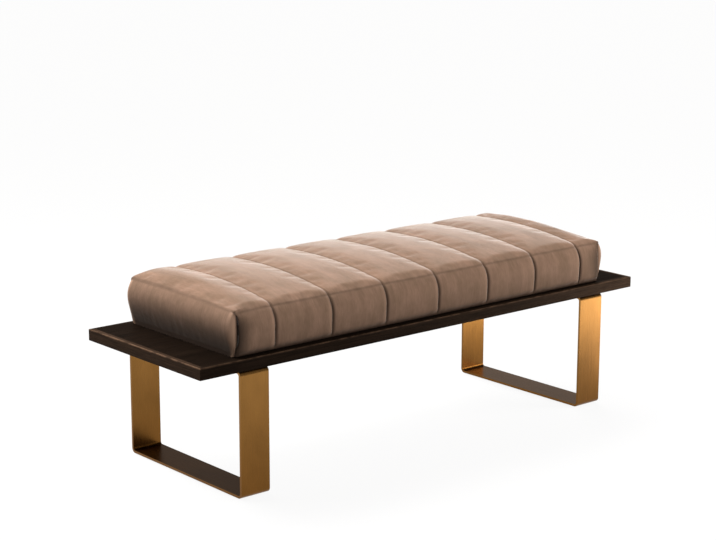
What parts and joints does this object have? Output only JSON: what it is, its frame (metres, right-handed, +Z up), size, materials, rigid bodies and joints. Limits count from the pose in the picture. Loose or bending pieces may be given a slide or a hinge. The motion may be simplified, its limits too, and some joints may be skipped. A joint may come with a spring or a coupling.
{
  "type": "footstool",
  "caption": "Long padded footstool with a channel-quilted seat on a dark wooden platform, carried by closed-loop sled legs of satin brass flat bar.",
  "frame": {"origin": "on the floor under the middle of the platform", "axes": "+X along the platform, -Y towards the front, +Z up"},
  "size_m": [1.4, 0.45, 0.46],
  "materials": {
    "platform_wood": "satin",
    "leg_metal": "satin",
    "seat_cover": "matte",
    "seat_foam": "matte",
    "seat_plywood": "matte",
    "fastener_steel": "satin",
    "glide_felt": "matte"
  },
  "bodies": {
    "root": {"channel_1": "seat_cover", "channel_2": "seat_cover", "channel_3": "seat_cover", "channel_4": "seat_cover", "channel_5": "seat_cover", "channel_6": "seat_cover", "foam_core": "seat_foam", "front_lipping": "platform_wood", "left_end_bolster": "seat_foam", "left_end_channel": "seat_cover", "left_end_panel": "seat_cover", "left_leg_frame": "leg_metal", "left_leg_glides": "glide_felt", "left_leg_screws": "fastener_steel", "left_lipping": "platform_wood", "platform_panel": "platform_wood", "rear_lipping": "platform_wood", "right_end_bolster": "seat_foam", "right_end_channel": "seat_cover", "right_end_panel": "seat_cover", "right_leg_frame": "leg_metal", "right_leg_glides": "glide_felt", "right_leg_screws": "fastener_steel", "right_lipping": "platform_wood", "seat_board": "seat_plywood", "seat_screws": "fastener_steel"}
  },
  "joints": []
}
